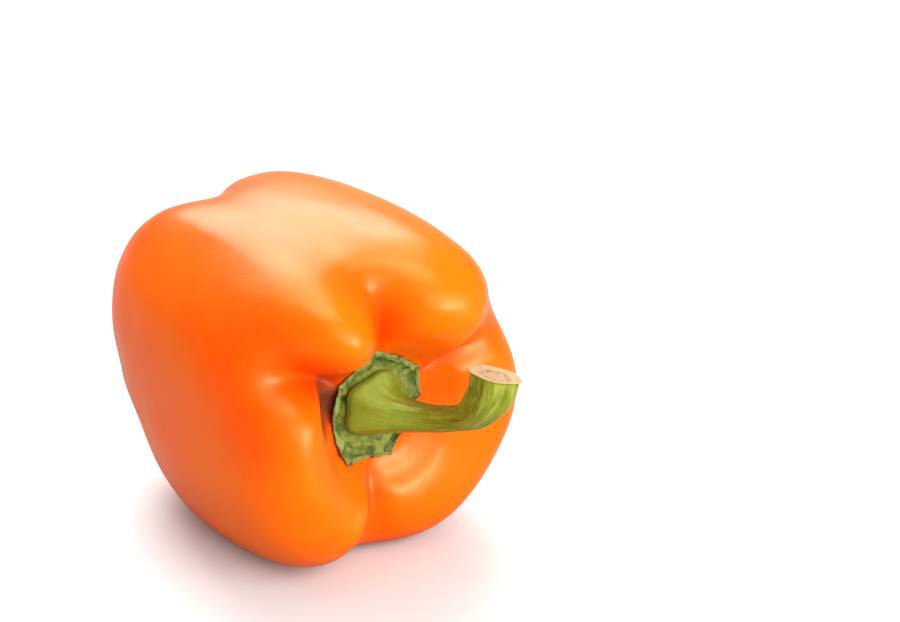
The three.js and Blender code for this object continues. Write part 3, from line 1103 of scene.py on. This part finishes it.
@dataclass(frozen=True)
class Calyx:
    """The crinkled collar in the hollow of the stem end."""

    fruit: Fruit
    corners: tuple[tuple[float, float], ...] = (
        (-132, 14), (-100, 11.4), (-76, 12.3), (-54, 9.2), (-22, 9.3), (2, 10.4), (35, 12.6),
        (67, 12.5), (96, 14), (134, 12.6), (150, 11.9), (173, 12.5), (211, 13.6),
    )
    thickness: Profile = Profile([(0, 1), (0.6, 1), (0.82, 1), (0.92, 1.3), (1, 0.7)])
    crinkle: float = 0.28
    folds: tuple[tuple[float, float, float], ...] = ((1.0, 11, 0), (0.7, 7, 50))
    crumple_start: Range = (0.66, 0.85)
    rim_start: Range = (0.93, 1.0)
    edge_start: Range = (0.965, 1.0)
    rim_bulge: float = 1.004
    rim_wave: float = 0.012
    tip_spread: float = 3.5
    reach_end: float = 0.3
    search_steps: int = 26
    slope_step: float = 0.004
    side_columns: int = 24
    rings: int = 54

    def over_fruit(self, angle: np.ndarray, radius: np.ndarray, lift: np.ndarray) -> np.ndarray:
        """Points over the fruit's stem end.

        Args:
            angle: Angles round the axis.
            radius: How far from the axis the skin is under each point, in millimetres.
            lift: How far over the skin each point lies, in millimetres.

        Returns:
            The points in the part's frame, in metres.
        """
        low, high = np.zeros_like(radius), np.full_like(radius, self.reach_end)
        for _ in range(self.search_steps):
            middle = (low + high) / 2
            short = self.fruit.section(angle, middle)[..., 0] < radius
            low, high = np.where(short, middle, low), np.where(short, high, middle)
        here = self.fruit.section(angle, low)
        behind = self.fruit.section(angle, np.maximum(low - self.slope_step, 0))
        slope = self.fruit.section(angle, low + self.slope_step) - behind
        slope /= np.linalg.norm(slope, axis=-1, keepdims=True)
        return on_axis(here[..., 0] - slope[..., 1] * lift, here[..., 1] + slope[..., 0] * lift, angle)

    def crumple(self, angle: np.ndarray, out: np.ndarray) -> tuple[np.ndarray, np.ndarray, np.ndarray]:
        """The folds of the collar.

        Args:
            angle: Angles round the axis.
            out: The part of the way from the middle to the rim.

        Returns:
            The height of the folds, the height of the finer crinkles, and how far both show.
        """
        fold = sum(high * np.sin(np.radians(count * angle + start)) for high, count, start in self.folds)
        fine = np.sin(np.radians(23 * angle + 40 * np.sin(7 * out)))
        fine *= np.sin(9 * out + np.radians(5 * angle))
        return fold, fine, smoothstep(out, *self.crumple_start)

    def build(self) -> bpy.types.Object:
        """Lofts the collar: its top from the middle out, over the rim and back underneath.

        Returns:
            The collar's skin.
        """
        corner_angle = np.radians([angle for angle, _ in self.corners])
        reach = np.array([radius for _, radius in self.corners])
        corner = np.stack([reach * np.cos(corner_angle), reach * np.sin(corner_angle)], -1)
        columns = len(self.corners) * self.side_columns
        column = np.arange(columns)
        side, part = column // self.side_columns, (column % self.side_columns) / self.side_columns
        rim = corner[side] * (1 - part)[:, None] + corner[(side + 1) % len(corner)] * part[:, None]
        distance = np.linalg.norm(rim, axis=1)
        rows = 2 * self.rings + 2
        row = np.arange(rows + 1)[:, None] + np.zeros(columns)
        angle = np.degrees(np.arctan2(rim[:, 1], rim[:, 0]))[None, :] + np.zeros_like(row)
        out = np.minimum(np.minimum(row, rows - row) / self.rings, 1.0)
        fold, fine, shown = self.crumple(angle, out)
        thickness = self.thickness.height(out) + self.crinkle * (fold + 0.6 * fine) * shown
        on_top, at_rim = row <= self.rings, row == self.rings + 1
        lift = np.full_like(out, GAP / MM)
        lift += np.where(on_top, thickness, 0.0) + np.where(at_rim, thickness / 2, 0.0)
        bulge = np.where(at_rim, self.rim_bulge, 1.0)
        wave = 1 + self.rim_wave * np.sin(np.radians(31 * angle)) * smoothstep(out, 0.9, 1.0)
        points = self.over_fruit(angle, distance[None, :] * out * bulge * wave, lift)
        obj = loft("pepper_calyx", points)
        self.mark(obj, row, angle, out)
        store(obj, "relief_place", points)
        return obj

    def mark(self, obj: bpy.types.Object, row: np.ndarray, angle: np.ndarray, out: np.ndarray) -> None:
        """Keeps on each point what the finish and the relief read there.

        Args:
            obj: The collar's skin.
            row: Each point's row.
            angle: Each point's angle round the axis.
            out: Each point's part of the way from the middle to the rim.
        """
        fold, fine, shown = self.crumple(angle, out)
        near_rim = smoothstep(out, *self.rim_start)
        corner = np.array([own for own, _ in self.corners], float)
        nearest = np.min(np.abs(turn(corner[:, None], angle[0][None, :])), axis=0)
        # Painted shade: the low places of the folds, stored as fold for the leaf to turn dark
        fold_shade = np.clip(0.35 - 0.5 * fine - 0.35 * fold, 0.0, 1.0)
        store(obj, "edge", smoothstep(out, *self.edge_start) * (row <= self.rings + 1))
        store(obj, "tip", near_rim * bell(nearest, 0.0, self.tip_spread)[None, :])
        store(obj, "fold", fold_shade * shown * (1 - near_rim))
        store(obj, "relief_mask", shown * (row <= self.rings))

    def dress(self, obj: bpy.types.Object, relief: GeometryTree) -> None:
        """Gives the collar its fine crinkles and its finish.

        Args:
            obj: The lofted collar.
            relief: The tree that makes low relief.
        """
        values = {"Depth": 1.1 * MM, "Scale": 430.0, "Detail": 2.5, "Seed": 11.0}
        relief.apply(obj, {**values, "Material": CalyxFinish().material()})
        finish_piece(obj, "calyx")


# The stem


@dataclass(frozen=True)
class Stem:
    """The stalk: a five-cornered foot, a slim neck and a ribbed hook with a cut end."""

    base: float = 27.2
    line: tuple[tuple[float, float, float], ...] = (
        (0, -1.6, 1.2), (2, -0.9, 1), (4.4, 1, 0.7), (9.4, 4.6, 0.8), (15.4, 7, 2.4),
        (20.4, 8.7, 5.2), (23.2, 9.8, 8.5), (24.4, 10.9, 11.6), (24.4, 11.8, 14.9),
    )
    radius: Profile = Profile(
        [(0, 7.5), (1.2, 7.5), (2.4, 6.4), (3.8, 5.2), (5.8, 4.2), (8.8, 3.5), (13, 3.1), (19, 3.15),
         (24, 3.9), (27.5, 4.6), (31, 5.2), (36, 5.6)]
    )
    foot_corners: tuple[tuple[float, float], ...] = (
        (82, 9.2), (150, 9.1), (208, 8.6), (296, 5.6), (377, 7.6),
    )
    foot_mean: float = 8.1
    foot_dip: float = 0.11
    foot_end: Range = (0.04, 0.2)
    ribs: int = 5
    rib_turn: float = 40.0
    rib: float = 0.04
    upright: float = 0.2
    sideways: tuple[float, float, float] = (0.33, -0.94, 0.11)
    cut: Profile = Profile([(0, 0.5), (0.5, 0.4), (0.9, 0.08), (1, 0)])
    grain_length: float = 1.512
    hook_start: Range = (0.24, 0.62)
    strand_count: int = 30
    strand_ring: float = 2.75 * MM
    strand_size: float = 0.24 * MM
    strand_sink: float = 0.43
    foot_fade: Range = (0.01, 0.11)
    lip_start: Range = (0.985, 1.0)
    rib_start: Range = (0.02, 0.1)
    rib_end: Range = (0.98, 1.0)
    foot_ribs: float = 0.25
    columns: int = 150
    rings: int = 170
    cut_rings: int = 26
    foot_rings: int = 6

    def centre_line(self) -> np.ndarray:
        """Runs a centripetal curve through the line's points.

        Returns:
            Dense points along it, in millimetres.
        """
        own = np.array(self.line, float)
        ends = np.vstack([2 * own[0] - own[1], own, 2 * own[-1] - own[-2]])
        dense = []
        for k in range(len(own) - 1):
            p0, p1, p2, p3 = ends[k : k + 4]
            d0, d1, d2 = (math.dist(a, b) ** 0.5 for a, b in ((p0, p1), (p1, p2), (p2, p3)))
            m1 = ((p1 - p0) / d0 - (p2 - p0) / (d0 + d1) + (p2 - p1) / d1) * d1
            m2 = ((p2 - p1) / d1 - (p3 - p1) / (d1 + d2) + (p3 - p2) / d2) * d1
            t = np.linspace(0.0, 1.0, 200, endpoint=k == len(own) - 2)[:, None]
            square, cube = 3 * (p2 - p1) - 2 * m1 - m2, 2 * (p1 - p2) + m1 + m2
            dense.append(p1 + m1 * t + square * t**2 + cube * t**3)
        return np.vstack(dense)

    def ring(self, part: np.ndarray, angle: np.ndarray, scale: np.ndarray, sink: np.ndarray) -> np.ndarray:
        """Points of the stalk's section.

        Args:
            part: Places along the centre line, 0 at the foot to 1 at the cut end.
            angle: Angles round the stalk.
            scale: The part of the radius.
            sink: How far below the section's plane each point lies, in millimetres.

        Returns:
            The points in the part's frame, in metres.
        """
        line = self.centre_line()
        step = np.linalg.norm(np.diff(line, axis=0), axis=1)
        run = np.concatenate([[0.0], np.cumsum(step)])
        place = part * run[-1]
        centre = np.stack([np.interp(place, run, line[:, k]) for k in range(3)], -1)
        slope = np.gradient(line, run, axis=0)
        tangent = np.stack([np.interp(place, run, slope[:, k]) for k in range(3)], -1)
        tangent /= np.linalg.norm(tangent, axis=-1, keepdims=True)
        leaving = smoothstep(part, 0.0, self.upright)[..., None]
        tangent = tangent * leaving + np.array([1.0, 0.0, 0.0]) * (1 - leaving)
        tangent /= np.linalg.norm(tangent, axis=-1, keepdims=True)
        side = np.array(self.sideways)
        across = side - tangent * (tangent @ side)[..., None]
        across /= np.linalg.norm(across, axis=-1, keepdims=True)
        upright = np.cross(tangent, across)
        before, after, between = bracket([corner for corner, _ in self.foot_corners], angle)
        reach = np.array([radius for _, radius in self.foot_corners])
        corner = reach[before] * (1 - between) + reach[after] * between
        foot = corner / self.foot_mean * (1 - self.foot_dip * np.sin(np.pi * between) ** 2)
        rib = 1 + self.rib * np.cos(np.radians(self.ribs * angle + self.rib_turn))
        blend = smoothstep(part, *self.foot_end)
        radius = self.radius.height(place) * (foot * (1 - blend) + rib * blend) * scale
        a = np.radians(angle - 180.0)
        offset = across * (radius * np.cos(a))[..., None] + upright * (radius * np.sin(a))[..., None]
        local = (centre + offset - tangent * sink[..., None]) * MM
        shift = np.array([self.base * MM - FOOTPRINT_MIDDLE[0], -FOOTPRINT_MIDDLE[1], AXIS_HEIGHT])
        return local + shift

    def build(self) -> bpy.types.Object:
        """Lofts the skin, from the middle of the cut end down to the middle of the foot.

        Returns:
            The stalk's skin.
        """
        angle = np.arange(self.columns) / self.columns * 360.0
        cut = np.linspace(0.0, 1.0, self.cut_rings, endpoint=False)
        down = (1 - np.linspace(0.0, 1.0, self.rings)) ** 1.25
        foot = np.linspace(1.0, 0.0, self.foot_rings + 1)[1:]
        part = np.concatenate([np.ones_like(cut), down, np.zeros_like(foot)])
        scale = np.concatenate([cut, np.ones_like(down), foot])
        sink = np.concatenate([self.cut.height(cut), np.zeros(self.rings + self.foot_rings)])
        around = np.zeros(self.columns)
        part_grid, scale_grid, sink_grid = (values[:, None] + around for values in (part, scale, sink))
        angle_grid = angle[None, :] + np.zeros_like(part_grid)
        rows = self.ring(part_grid, angle_grid, scale_grid, sink_grid)
        obj = loft("pepper_stem", rows)
        self.mark(obj, part_grid, angle_grid, scale_grid)
        return obj

    def mark(self, obj: bpy.types.Object, part: np.ndarray, angle: np.ndarray, scale: np.ndarray) -> None:
        """Keeps on each point what the finishes and the relief read there.

        Args:
            obj: The stalk's skin.
            part: Each point's place along the centre line.
            angle: Each point's angle round the stalk.
            scale: The part of the radius at each point.
        """
        a = np.radians(angle)
        grain = np.stack([np.cos(a), np.sin(a), part * self.grain_length], -1)
        hook = smoothstep(part, *self.hook_start)
        outside = np.where(scale > 0.99, 1.0, 0.0)
        store(obj, "grain", grain)
        store(obj, "hook", hook)
        store(obj, "foot", 1 - smoothstep(part, *self.foot_fade))
        store(obj, "lip", smoothstep(part, *self.lip_start) * outside)
        store(obj, "cut_radius", scale)
        store(obj, "relief_place", grain)
        side = outside * smoothstep(part, *self.rib_start) * (1 - smoothstep(part, *self.rib_end))
        store(obj, "relief_mask", side * (self.foot_ribs + (1 - self.foot_ribs) * hook))

    def dress(self, obj: bpy.types.Object, relief: GeometryTree) -> None:
        """Gives the stalk its ribs, its skin and its cut flesh.

        Args:
            obj: The lofted stalk's skin.
            relief: The tree that makes low relief.
        """
        values = {"Depth": 0.9 * MM, "Scale": 2.6, "Detail": 2.5, "Seed": 5.0}
        relief.apply(obj, {**values, "Material": StalkFinish().material()})
        obj.data.materials.append(CutFinish().material())
        cut_faces = self.columns * self.cut_rings
        material = np.zeros(len(obj.data.polygons), np.int32)
        material[:cut_faces] = 1
        obj.data.polygons.foreach_set("material_index", material)
        finish_piece(obj, "stem")

    def strands(self, tree: GeometryTree) -> bpy.types.Object:
        """Sets the ring of cut strands in the stalk's end.

        Args:
            tree: The tree that makes the ring.

        Returns:
            The strands, as one mesh.
        """
        name = "pepper_stem_strands"
        obj = bpy.data.objects.new(name, bpy.data.meshes.new(name))
        bpy.context.scene.collection.objects.link(obj)
        values = {"Count": self.strand_count, "Ring Radius": self.strand_ring, "Seed": 8}
        values |= {"Grain Radius": self.strand_size, "Material": StrandFinish().material()}
        tree.apply(obj, values)
        end, sink = np.ones(1), np.array([self.strand_sink])
        middle, right, top = (
            Vector(self.ring(end, np.array([angle]), np.array([scale]), sink)[0])
            for angle, scale in ((0.0, 0.0), (0.0, 1.0), (90.0, 1.0))
        )
        x = (right - middle).normalized()
        z = x.cross(top - middle).normalized()
        y = z.cross(x)
        turned = Matrix((x, y, z)).transposed().to_4x4()
        obj.data.transform(Matrix.Translation(middle) @ turned)
        obj.data.shade_smooth()
        finish_piece(obj)
        return obj


# The studio


@dataclass(frozen=True)
class Softbox:
    """A large soft light: its place, aim, size and power, and whether only gloss sees it."""

    name: str
    at: tuple[float, float, float]
    aim: tuple[float, float, float]
    size: tuple[float, float]
    power: float
    gloss_only: bool = False

    def build(self) -> None:
        """Hangs the light."""
        data = bpy.data.lights.new(self.name, "AREA")
        data.shape = "RECTANGLE"
        data.size, data.size_y = self.size
        data.energy = self.power
        obj = bpy.data.objects.new(self.name, data)
        obj.location = self.at
        obj.visible_diffuse = not self.gloss_only
        obj.rotation_mode = "QUATERNION"
        obj.rotation_quaternion = (Vector(self.aim) - Vector(self.at)).to_track_quat("-Z", "Y")
        bpy.context.scene.collection.objects.link(obj)


@dataclass(frozen=True)
class Studio:
    """The white surface, the lights and the camera."""

    azimuth: float = 56.0
    elevation: float = 24.0
    distance: float = 0.545
    aim: tuple[float, float, float] = (0.00756, 0.02532, 0.0478)
    lens: float = 100.0
    sensor: float = 36.0
    floor_side: float = 3.0
    sky: float = 0.58
    mirrored_sky: float = 0.1
    softboxes: tuple[Softbox, ...] = (
        Softbox("back_softbox", (-0.92, 0.38, 0.98), (0, 0, 0.04), (1.05, 1.3), 24.0),
        Softbox("right_softbox", (0.92, 0.03, 0.45), (0, 0, 0.04), (1.0, 0.8), 12.0),
        Softbox(
            "ceiling_panel", (-0.18, -0.06, 1.05), (-0.18, -0.06, 0), (1.45, 0.9), 35.0, gloss_only=True,
        ),
        Softbox("side_panel", (1.05, 0.5, 0.26), (0, 0, 0.04), (0.9, 0.5), 22.0, gloss_only=True),
    )

    def build(self) -> None:
        """Sets up the surface, the lights, the camera and the plain colour response."""
        self.build_floor()
        for softbox in self.softboxes:
            softbox.build()
        self.build_sky()
        bpy.context.scene.view_settings.view_transform = "Standard"
        bpy.context.scene.view_settings.look = "Medium High Contrast"
        self.build_camera()

    def build_sky(self) -> None:
        """Lights the room evenly and white, with less of it in the pepper's gloss."""
        world = bpy.data.worlds.new("studio")
        world.use_nodes = True
        nodes, links = world.node_tree.nodes, world.node_tree.links
        level = nodes.new("ShaderNodeMapRange")
        level.inputs["To Min"].default_value = self.sky
        level.inputs["To Max"].default_value = self.mirrored_sky
        links.new(nodes.new("ShaderNodeLightPath").outputs["Is Glossy Ray"], level.inputs["Value"])
        background = nodes["Background"]
        background.inputs["Color"].default_value = (1.0, 1.0, 1.0, 1.0)
        links.new(level.outputs["Result"], background.inputs["Strength"])
        bpy.context.scene.world = world

    def build_floor(self) -> None:
        """Lays the white surface under the pepper."""
        half = self.floor_side / 2
        mesh = bpy.data.meshes.new("floor")
        corners = [(-half, -half, 0.0), (half, -half, 0.0), (half, half, 0.0), (-half, half, 0.0)]
        mesh.from_pydata(corners, [], [(0, 1, 2, 3)])
        mesh.materials.append(FloorFinish().material())
        floor = bpy.data.objects.new("floor", mesh)
        bpy.context.scene.collection.objects.link(floor)

    def build_camera(self) -> None:
        """Sets up the camera at the photograph's viewing angle."""
        a, e = math.radians(self.azimuth), math.radians(self.elevation)
        back = Vector((math.sin(a) * math.cos(e), -math.cos(a) * math.cos(e), math.sin(e)))
        data = bpy.data.cameras.new("camera")
        data.lens, data.sensor_width = self.lens, self.sensor
        data.clip_start, data.clip_end = 0.01, 20.0
        camera = bpy.data.objects.new("camera", data)
        camera.location = Vector(self.aim) + back * self.distance
        camera.rotation_mode = "QUATERNION"
        camera.rotation_quaternion = (-back).to_track_quat("-Z", "Y")
        bpy.context.scene.collection.objects.link(camera)
        bpy.context.scene.camera = camera


def main() -> None:
    """Builds and dresses the pepper, then sets up the studio."""
    logging.basicConfig(level=logging.INFO)
    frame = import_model()
    LOG.info("dressing %d solids", len(frame["nodes"]))
    relief = relief_tree()
    fruit = Fruit()
    fruit.dress(fruit.build(), relief)
    calyx = Calyx(fruit)
    calyx.dress(calyx.build(), relief)
    stem = Stem()
    stem.dress(stem.build(), relief)
    stem.strands(bundle_tree())
    Studio().build()


if __name__ == "__main__":
    main()
